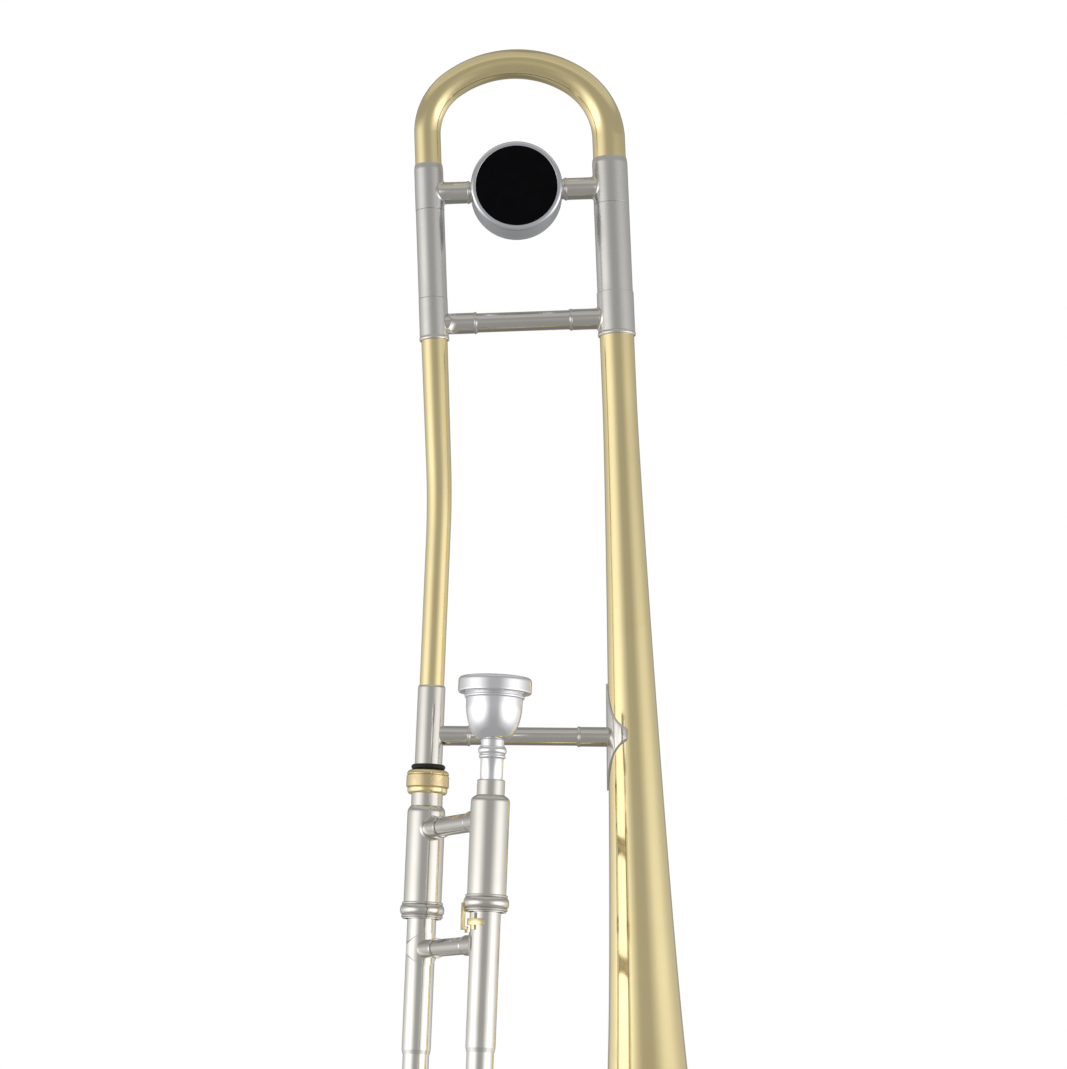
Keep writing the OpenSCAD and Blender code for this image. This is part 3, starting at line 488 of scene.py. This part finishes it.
bow_ferrule_neck = bow_ferrule("bow_sleeve_neck", neck_leg, "bow_ferrule_neck")
bow_ferrule_bell = bow_ferrule("bow_sleeve_bell", bell_axis, "bow_ferrule_bell")
print("bow ferrules", [round(v, 2) for v in span("bow_ferrule_neck", neck_leg)])

# %% [markdown]
# ## The bell
# A bell is spun from sheet on a mandrel. Its outline is one smooth curve: an
# even stem, a long slow taper and a flare that opens late. The same rule as in
# the frame's design gives as many points as the eye needs.

# %% Bell
BELL_LEN, STEM_LEN, WALL = bell_top, 55.0, 0.5
FLARE_REACH, SLOW_TAPER = 71.0, 14.5
rim_r = span("bell", bell_axis)[3]
flare_r = rim_r - 2.4
stem_end_r = 9.6


def opening(s):
    return (1 + s / FLARE_REACH) ** -3


def bell_radius(s):
    """Outer radius of the bell at a height above its mouth, in mm."""
    flare = (flare_r - stem_end_r - SLOW_TAPER) * (opening(s) - opening(BELL_LEN)) / (1 - opening(BELL_LEN))
    return stem_end_r + flare + SLOW_TAPER * max(0, 1 - s / (BELL_LEN - STEM_LEN)) ** 1.25


heights = [BELL_LEN * (step / 110) ** 2 for step in range(111)]
skin = [(bell_radius(s), s) for s in heights]
lining = [(r - WALL * math.hypot(1, (bell_radius(s) - bell_radius(s + 1))), s) for r, s in skin]
bell = turned("bell_skin", skin + lining[::-1], sides=160)
rim_turns = [math.tau * k / 24 for k in range(24)]
rim = turned("bell_rim", [(flare_r + 0.8 + 1.6 * math.cos(turn), 1.28 + 1.6 * math.sin(turn))
                          for turn in rim_turns], sides=160)
fitted(bell, bell_axis, "bell_section", "lacquered_brass", "bell")
fitted(rim, bell_axis, "bell_section", "lacquered_brass")
print("bell", round(bell_radius(0) / 10, 2), "cm at the mouth,", len(bell.data.polygons), "faces")

# %% [markdown]
# ## Bent tubes
# The gooseneck and the tuning bow are drawn straight and bent round a former.
# A ring of points is pushed from station to station, turned and resized at
# each, and the walls get their thickness at the end. A step of two and a half
# degrees keeps the reflections smooth.

# %% Bending


def bent(name, stations, wall, sides=96):
    """A tube through stations of (x, z, tilt in degrees, radius) in mm, from its first end to its last."""
    x, z, tilt, r = stations[0]
    bpy.ops.object.select_all(action="DESELECT")
    bpy.ops.mesh.primitive_circle_add(vertices=sides, radius=r, location=(0, 0, 0))
    piece = bpy.context.object
    piece.name = name
    bpy.ops.object.mode_set(mode="EDIT")
    bpy.ops.mesh.select_all(action="SELECT")
    bpy.ops.transform.translate(value=(x, 0, z))
    for (x, z, tilt, r), (next_x, next_z, next_tilt, next_r) in zip(stations, stations[1:]):
        bpy.ops.mesh.extrude_region_move(TRANSFORM_OT_translate={"value": (next_x - x, 0, next_z - z)})
        middle_now = (next_x, 0, next_z)
        if next_tilt != tilt:
            bpy.ops.transform.rotate(value=math.radians(tilt - next_tilt), orient_axis="Y",
                                     center_override=middle_now)
        bpy.ops.transform.resize(value=(next_r / r,) * 3, center_override=middle_now)
    bpy.ops.mesh.select_all(action="SELECT")
    bpy.ops.mesh.normals_make_consistent(inside=False)
    bpy.ops.object.mode_set(mode="OBJECT")
    thick = piece.modifiers.new("wall", "SOLIDIFY")
    thick.thickness, thick.offset = wall, -1
    bpy.ops.object.modifier_apply(modifier="wall")
    piece.scale = (MM, MM, MM)
    bpy.ops.object.transform_apply(location=False, rotation=False, scale=True)
    bpy.ops.object.shade_smooth_by_angle(angle=math.radians(40))
    return piece


# %% Tuning bow
LEGS = (bell_axis.translation - neck_leg.translation).length / MM
NECK_CORNER, BELL_CORNER, TURN, STEP = 34.5, 42.0, 55.0, 2.5
BOW_DEPTH = 82
bow_top = span("tuning_bow", neck_leg)[1]
neck_end_r = span("bow_ferrule_neck", neck_leg)[2]
bell_end_r = span("bow_ferrule_bell", bell_axis)[2]
turn_cos, turn_sin = math.cos(math.radians(TURN)), math.sin(math.radians(TURN))
arch_r = (LEGS - (NECK_CORNER + BELL_CORNER) * (1 - turn_cos)) / (2 * turn_cos)
arch_x = NECK_CORNER + (arch_r - NECK_CORNER) * turn_cos


def bow_radius(tilt):
    return neck_end_r + (bell_end_r - neck_end_r) * tilt / 180


arch_z = bow_top - bow_radius(90) - arch_r
bow = [(0, bow_top - BOW_DEPTH, 0, neck_end_r)]
for index in range(int(180 / STEP) + 1):
    tilt = index * STEP
    if tilt <= TURN:
        x, z, r = NECK_CORNER, arch_z + (arch_r - NECK_CORNER) * turn_sin, NECK_CORNER
    elif tilt < 180 - TURN:
        x, z, r = arch_x, arch_z, arch_r
    else:
        x, z, r = LEGS - BELL_CORNER, arch_z + (arch_r - BELL_CORNER) * turn_sin, BELL_CORNER
    x -= r * math.cos(math.radians(tilt))
    z += r * math.sin(math.radians(tilt))
    bow.append((x, z, tilt, bow_radius(tilt)))
bow.append((LEGS, bow_top - BOW_DEPTH, 180, bell_end_r))
fitted(bent("bow", bow, WALL), neck_leg, "tuning_slide", "lacquered_brass", "tuning_bow")
print("bow", len(bow), "stations, arch radius", round(arch_r, 1))

# %% Gooseneck
neck_foot = span("gooseneck", neck_tube)[0]
neck_end = span("gooseneck", neck_leg)[1]
tilt_all = math.degrees(math.acos(lean.z))
BEND_R, END_R, TOP_R = 520.0, 6.75, GOOSENECK_R
leg_offset = neck_leg.translation.x - neck_tube.translation.x
cross_z = leg_offset / -lean.x * lean.z / MM + neck_leg.translation.z / MM
reach = BEND_R * math.tan(math.radians(tilt_all / 2))
rise = neck_end - (neck_leg.inverted() @ Vector((neck_tube.translation.x, 0, cross_z * MM))).z / MM
goose = [(0, neck_foot, 0, END_R)]
for index in range(13):
    turn = tilt_all * index / 12
    share = 2 * reach * index / 12 / (rise + reach)
    goose.append((-BEND_R * (1 - math.cos(math.radians(turn))),
                  cross_z - reach + BEND_R * math.sin(math.radians(turn)),
                  -turn, END_R + (TOP_R - END_R) * share))
goose.append((lean.x * rise, cross_z + lean.z * rise, -tilt_all, TOP_R))
fitted(bent("neck_bend", goose, WALL), neck_tube, "bell_section", "lacquered_brass", "gooseneck")
print("gooseneck bends", round(tilt_all, 2), "degrees at", round(cross_z), "mm")

# %% [markdown]
# ## Brace sockets
# A brace is a tube held by a socket at each end. The socket has a bead at its
# mouth, and its foot is soldered to the tube it stands on, with a small fillet
# that follows the tube round. The rings of the fillet are laid on the real
# surface by a shrinkwrap, each a little further off than the one before.

# %% Socket helper


def socket(name, place, target, mouth, bore, seat, fillet=1.3):
    """A socket along the Z of a place, from a target piece out to its mouth; sizes in mm."""
    wall = bore + 0.45
    rings = [0.0, 0.12, 0.3, 0.6, 0.95, fillet]
    flare = [wall + fillet - math.sqrt(fillet ** 2 - (fillet - h) ** 2) for h in rings]
    outline = [(bore, seat), *[(r, seat + h) for r, h in zip(flare, rings)], (wall, seat + fillet + 1.5)]
    lip = eased([(wall, mouth, 0.15), (bore, mouth)])[:6]
    outline += [(wall, mouth - 2.0), *bead(wall, mouth - 1.7, mouth - 0.5, 0.35), *lip, (bore, mouth)]
    piece = turned(name, outline, sides=96, crease=40)
    piece.matrix_world = place
    bpy.context.view_layer.update()
    for h in rings:
        laid = [v.index for v in piece.data.vertices if abs(v.co.z - (seat + h) * MM) < 1e-6]
        ring = piece.vertex_groups.new(name="ring")
        ring.add(laid, 1.0, "REPLACE")
        wrap = piece.modifiers.new("lay", "SHRINKWRAP")
        wrap.target, wrap.vertex_group, wrap.offset = target, ring.name, h * MM
        wrap.wrap_method, wrap.wrap_mode = "PROJECT", "ABOVE_SURFACE"
        wrap.use_project_z, wrap.use_negative_direction, wrap.use_positive_direction = True, True, False
        bpy.ops.object.modifier_apply(modifier=wrap.name)
    piece.vertex_groups.clear()
    piece.matrix_world = Matrix.Identity(4)
    return piece


def brace(name, place, length, low_target, high_target, low_mouth, high_mouth, bore, body, *replaced,
          seats=(11, 12)):
    """The tube of a brace and its two sockets, standing on two pieces; sizes in mm."""
    far = place @ Matrix.Translation((0, 0, length * MM)) @ Matrix.Rotation(math.pi, 4, "X")
    low = socket(name + "_socket_low", place, low_target, low_mouth, bore, seats[0])
    high = socket(name + "_socket_high", far, high_target, length - high_mouth, bore, seats[1])
    outline = [(bore - 0.6, low_mouth - 2), (bore, low_mouth - 2),
               (bore, high_mouth + 2), (bore - 0.6, high_mouth + 2)]
    middle_tube = turned(name + "_tube", outline, sides=96)
    fitted(middle_tube, place, body, "nickel_silver", *replaced[:1])
    fitted(low, place, body, "nickel_silver", *replaced[1:2])
    fitted(high, far, body, "nickel_silver", *replaced[2:])


def mouths(name, place, half):
    """Where the sockets of a node end, either side of the middle of a brace, in mm."""
    seen = place.inverted() @ nodes[name].matrix_world
    ends = [(seen @ vertex.co).z / MM for vertex in nodes[name].data.vertices]
    return max([z for z in ends if z < half], default=0), min([z for z in ends if z > half], default=0)


def crossing(tube_name, foot, direction):
    """The place of a brace: on the axis through foot, level with its CAD tube, Z along direction."""
    point = middle(tube_name)
    return standing(point - direction * (point - foot).dot(direction), direction)


# %% Braces of the bell section
upper = crossing("upper_brace_tube", neck_leg.translation, toward)
low_mouth, high_mouth = mouths("upper_brace_sockets", upper, LEGS / 2)
upper_r = span("upper_brace_tube", upper)[3]
brace("upper_brace", upper, LEGS, neck_ferrule, bell_ferrule, low_mouth, high_mouth, upper_r,
      "bell_section", "upper_brace_tube", "upper_brace_sockets")
weight_place = crossing("weight_brace_tube", neck_leg.translation, toward)
low_mouth = span("weight_socket_neck", weight_place)[1]
high_mouth = span("weight_socket_bell", weight_place)[0]
weight_brace_r = span("weight_brace_tube", weight_place)[3]
brace("weight_brace", weight_place, LEGS, bow_ferrule_neck, bow_ferrule_bell, low_mouth, high_mouth,
      weight_brace_r, "tuning_slide", "weight_brace_tube", "weight_socket_neck", "weight_socket_bell")
print("upper brace", round(upper_r, 2), "mm radius, weight brace", round(weight_brace_r, 2))

# %% [markdown]
# ## Neck joint
# The nickel neckpipe carries a loose nut. The nut is polished brass with a
# straight-knurled band for the fingers, and a black ring above it keeps it
# from marking the pipe. The knurl is cut for real: every second column of
# points on the band is pulled in towards the axis.

# %% Neckpipe, washer, receiver
TENON_R, RECEIVER_BORE_R = 7.0, 7.05
PIPE_BORE_R, CAP_DEPTH = END_R, 24
foot, top, inner, _ = span("neckpipe", neck_tube)
sleeve_r = span("neck_washer", neck_tube)[2]
collar_r = span("slide_receiver", neck_tube)[3] - 0.1
collar_foot = span("slide_receiver", neck_tube)[1] + 0.2
pipe = turned("neckpipe_sleeve", eased([
    (inner, foot), (TENON_R, foot, 0.5), (TENON_R, collar_foot), (collar_r, collar_foot, 0.2),
    (collar_r, collar_foot + 3.2, 0.3), (sleeve_r, collar_foot + 3.2), (sleeve_r, top - 0.9, 0.4),
    (sleeve_r - 0.4, top, 0.2), (PIPE_BORE_R, top), (PIPE_BORE_R, top - CAP_DEPTH),
    (inner, top - CAP_DEPTH)]))
fitted(pipe, neck_tube, "bell_section", "nickel_silver", "neckpipe")
foot, top, inner, outer = span("neck_washer", neck_tube)
washer_bead = bead(inner + 0.6, foot, top, outer - inner - 0.6, 12)
washer = turned("nut_washer", [(inner, foot), *washer_bead, (inner, top)], sides=96)
fitted(washer, neck_tube, "bell_section", "black_rubber", "neck_washer")
foot, top, inner, outer = span("slide_receiver", neck_tube)
receiver = turned("receiver", eased([(inner, foot), (outer, foot), (outer, top, 0.4), (RECEIVER_BORE_R, top),
                                     (RECEIVER_BORE_R, foot + 10), (inner, foot + 10)]))
fitted(receiver, neck_tube, "inner_slide", "nickel_silver", "slide_receiver")

# %% Lock nut
foot, top, inner, grip_r = span("lock_nut", neck_tube)
low_edge, high_edge = foot + 3.4, top - 2.9
nut = turned("nut", eased([
    (inner, foot + 0.3), (10.0, foot + 0.2, 0.4), (10.9, foot + 1.2, 0.6), (11.0, low_edge, 0.3),
    (10.6, low_edge), (10.6, high_edge), (11.5, high_edge, 0.3), (11.3, top - 1.2, 1.0),
    (9.2, top, 1.2), (inner, top)]), sides=144)
fitted(nut, neck_tube, "lock_nut", "lacquered_brass", "lock_nut")
KNURLS, CUT = 66, 0.4
knurl = turned("nut_knurl", [
    (10.5, low_edge + 0.1), (grip_r - 0.9, low_edge + 0.1), (grip_r, low_edge + 0.8),
    (grip_r, high_edge - 0.7), (grip_r - 0.7, high_edge - 0.1), (10.5, high_edge - 0.1)],
    sides=2 * KNURLS, crease=20)
for vertex in knurl.data.vertices:
    column = round(math.atan2(vertex.co.y, vertex.co.x) / math.tau * 2 * KNURLS)
    vertex.select = column % 2 == 1 and math.hypot(vertex.co.x, vertex.co.y) > (grip_r - 0.3) * MM
bpy.ops.object.mode_set(mode="EDIT")
bpy.ops.mesh.select_mode(type="VERT")
bpy.ops.transform.resize(value=(1 - CUT / grip_r, 1 - CUT / grip_r, 1), center_override=(0, 0, 0))
bpy.ops.object.mode_set(mode="OBJECT")
fitted(knurl, neck_tube, "lock_nut", "lacquered_brass", finish=knurled_brass)
print("nut", round(2 * grip_r, 1), "mm across,", KNURLS, "ridges of",
      round(math.tau * grip_r / KNURLS, 2), "mm")

# %% Main brace
MAIN_TILT = math.radians(1.8)
main_way = Vector((math.cos(MAIN_TILT), 0, math.sin(MAIN_TILT)))
main_place = crossing("main_brace_tube", neck_tube.translation, main_way)
to_bell = bell_axis.translation - main_place.translation
main_len = (to_bell.cross(lean).length / main_way.cross(lean).length) / MM
low_mouth = span("main_socket_neck", main_place)[1]
high_mouth = span("main_socket_bell", main_place)[0]
main_r = span("main_brace_tube", main_place)[3]
brace("main_brace", main_place, main_len, pipe, bell, low_mouth, high_mouth, main_r, "bell_section",
      "main_brace_tube", "main_socket_neck", "main_socket_bell", seats=(9, 25))
print("main brace", round(main_len, 1), "mm between axes")

# %% [markdown]
# ## Hand slide
# Two barrels hold the cork bumpers and take the ends of the outer slide. Each
# is a plain cylinder with a rounded shoulder. One carries a fixed ring, the
# other a turning ring with the lock's hook, and both rings are cut as a fat
# bead between two thin ones.

# %% Barrels


def barrel(name, place, node_name, neck_r):
    """A barrel with a rounded shoulder, closed round the tube in its top, with a lip at its foot."""
    foot, top, _, outer = span(node_name, place)
    inner = outer - 1.5
    body_r = outer - 0.35
    outline = eased([(inner, foot), (outer, foot, 0.12), (outer, foot + 0.5, 0.12), (body_r, foot + 0.5),
                     (body_r, top - 1.9, 2.0), (neck_r, top - 0.3), (neck_r, top - 6), (inner, top - 6)], 8)
    return fitted(turned(name, outline), place, "inner_slide", "nickel_silver", node_name)


neck_barrel = barrel("barrel_left", neck_tube, "barrel_neck", span("slide_receiver", neck_tube)[3])
mouth_barrel = barrel("barrel_right", mouth_tube, "barrel_mouth", span("mouthpiece_receiver", mouth_tube)[3])

# %% Rings


def ring(name, place, body, node_name):
    """Three beads round a barrel: thin, fat, thin, with a fine groove between them."""
    foot, top, inner, outer = span(node_name, place)
    thin = (top - foot) * 0.17
    seat = inner + 0.3
    outline = [(inner, foot), *bead(seat, foot, foot + thin, 0.75),
               *bead(seat, foot + thin, top - thin, outer - seat, 16),
               *bead(seat, top - thin, top, 0.6), (inner, top)]
    return fitted(turned(name, outline), place, body, "nickel_silver", node_name)


ring("ring_left", neck_tube, "inner_slide", "barrel_ring_neck")
ring("ring_right", mouth_tube, "lock_ring", "lock_ring")
foot, top, inner, outer = span("mouthpiece_receiver", mouth_tube)
shank_r = 5.95
mouth_receiver = turned("mouth_receiver", eased([
    (inner, foot), (outer, foot), (outer, top - 0.2, 0.35), (outer - 0.3, top, 0.2),
    (shank_r + 0.05, top), (shank_r - 0.3, top - 28), (inner, top - 28)]))
fitted(mouth_receiver, mouth_tube, "inner_slide", "nickel_silver", "mouthpiece_receiver")

# %% The neck oversleeve and the inner slide brace


def oversleeve(name, place, node_name):
    """The thick sleeve at the top of an outer tube, with a long chamfer at its lower end."""
    foot, top, inner, _ = span(node_name, place)
    outer = inner + 0.72
    outline = eased([(inner, foot), (inner + 0.2, foot), (outer, foot + 2.4, 0.4),
                     (outer, top, 0.3), (inner, top)])
    return fitted(turned(name, outline), place, "outer_slide", "nickel_silver", node_name)


oversleeve("oversleeve_left", neck_tube, "oversleeve_neck")
slide_gap = (mouth_tube.translation - neck_tube.translation).length / MM
inner_place = crossing("inner_brace_tube", neck_tube.translation, across)
low_mouth, high_mouth = mouths("inner_brace_sockets", inner_place, slide_gap / 2)
inner_r = span("inner_brace_tube", inner_place)[3]
brace("inner_brace", inner_place, slide_gap, neck_barrel, mouth_barrel, low_mouth, high_mouth, inner_r,
      "inner_slide", "inner_brace_tube", "inner_brace_sockets", seats=(12.5, 12.5))
print("slide", round(slide_gap, 1), "mm between axes")

# %% [markdown]
# ## Mouthpiece
# Turned from bar and silver-plated: a broad rim with rounded edges, a thin step
# under it, the cup's deep curve, two beads at its neck and the tapered shank.
# The rim's round edge and the soft curve into the cup are what show most.

# %% Mouthpiece
foot, rim_top, inner, rim_r = span("mouthpiece", mouth_tube)
top_z = span("mouthpiece_receiver", mouth_tube)[1]
waist_r = shank_r + 0.35
cup_turns = [math.radians(angle) for angle in range(0, 91, 6)]
cup = [(waist_r + 8.7 * math.sin(turn) ** 1.15, top_z + 21 + 19.5 * (1 - math.cos(turn)))
       for turn in cup_turns]
rim_foot = rim_top - 8.6
outside = [(shank_r - 0.35, foot), (shank_r, top_z), (shank_r + 0.1, top_z + 11),
           *bead(waist_r, top_z + 11.4, top_z + 13.4, 0.8),
           *bead(waist_r, top_z + 13.6, top_z + 17.8, 1.25, 12), (waist_r, top_z + 18.3), *cup,
           (waist_r + 8.8, rim_foot - 3.2),
           *bead(waist_r + 8.8, rim_foot - 3.0, rim_foot - 1.0, 0.9), (waist_r + 9.0, rim_foot - 0.6)]
brim = eased([(waist_r + 9.0, rim_foot - 0.6), (rim_r, rim_foot, 0.9), (rim_r, rim_top, 2.6),
              (rim_r - 6.5, rim_top - 0.6, 1.4), (rim_r - 7.2, rim_top - 5)], 8)[1:-1]
bowl_turns = [math.radians(angle) for angle in range(0, 91, 9)]
bowl = [(3.2 + (rim_r - 10.3) * math.cos(turn), rim_top - 5 - 24 * math.sin(turn)) for turn in bowl_turns]
throat = [(3.1, rim_top - 34), (shank_r - 1.3, foot)]
mouthpiece = turned("mouthpiece_plated", outside + brim + bowl + throat, crease=34)
fitted(mouthpiece, mouth_tube, "mouthpiece", "silver_plate", "mouthpiece")
print("mouthpiece", round(2 * rim_r, 1), "mm rim,", round(rim_top - foot, 1), "mm long")

# %% [markdown]
# ## Balance weight
# Two chromed halves clamp the brace, with a fine parting line between them. The
# front face is a narrow polished rim round a black disc. The front half and the
# disc are turned here, about an axis along Y; the back half is the frame's own.

# %% Weight
centre = (middle("weight_front") + middle("weight_back")) / 2
weight_axis = Matrix.Translation((centre.x, 0, centre.z)) @ Matrix.Rotation(math.pi / 2, 4, "X")
foot, face, _, weight_r = span("weight_front", weight_axis)
disc_r = span("weight_badge", weight_axis)[3]
half = eased([(0, 0.05), (weight_r, 0.05, 0.25), (weight_r, face, 2.0), (disc_r, face, 0.3),
              (disc_r, face - 1.2), (0, face - 1.2)], 6)
fitted(turned("weight_face", half, sides=160), weight_axis, "tuning_slide", "chrome_plate", "weight_front")
foot, top, _, outer = span("weight_badge", weight_axis)
disc = eased([(0, foot), (outer - 0.05, foot), (outer - 0.05, top, 0.15), (0, top)])
fitted(turned("weight_disc", disc, sides=160), weight_axis, "tuning_slide", "badge_enamel", "weight_badge")
print("weight", round(2 * weight_r, 1), "mm, disc", round(2 * disc_r, 1), "mm")

# %% [markdown]
# ## Small cast pieces
# The lock's hook and saddle, the diamond plate, the bow's guard and the water
# key's bracket and lever are castings. Their shapes are already right in the
# frame, but a casting has no sharp edge. A copy of each has its triangles
# joined into whole faces and its edges rounded by a bevel.

# %% Castings


def casting(name, round_over, crease=30):
    """A copy of a CAD node with its sharp edges rounded; the copy stands for the node."""
    bpy.ops.object.select_all(action="DESELECT")
    nodes[name].select_set(True)
    bpy.context.view_layer.objects.active = nodes[name]
    bpy.ops.object.duplicate()
    piece = bpy.context.object
    piece.name = name + "_cast"
    bpy.ops.object.mode_set(mode="EDIT")
    bpy.ops.mesh.select_all(action="SELECT")
    bpy.ops.mesh.remove_doubles(threshold=0.00001)
    bpy.ops.mesh.dissolve_limited(angle_limit=math.radians(1.0))
    bpy.ops.object.mode_set(mode="OBJECT")
    bevel = piece.modifiers.new("round", "BEVEL")
    bevel.width, bevel.segments, bevel.limit_method = round_over * MM, 3, "ANGLE"
    bevel.angle_limit = math.radians(crease)
    bpy.ops.object.modifier_apply(modifier="round")
    bpy.ops.object.shade_smooth_by_angle(angle=math.radians(crease))
    return piece


owners = {name: body for body, members in frame["record"]["behaviour"]["bodies"].items() for name in members}
slots = {part["node"]: part["material_slot"] for part in frame["record"]["subparts"]}
for name, round_over in (("lock_hook", 0.35), ("lock_saddle", 0.35), ("brace_flange", 0.12),
                         ("bow_guard", 0.3), ("key_bracket", 0.25), ("key_lever", 0.25)):
    fitted(casting(name, round_over), Matrix.Identity(4), owners[name], slots[name], name)
print("castings done")
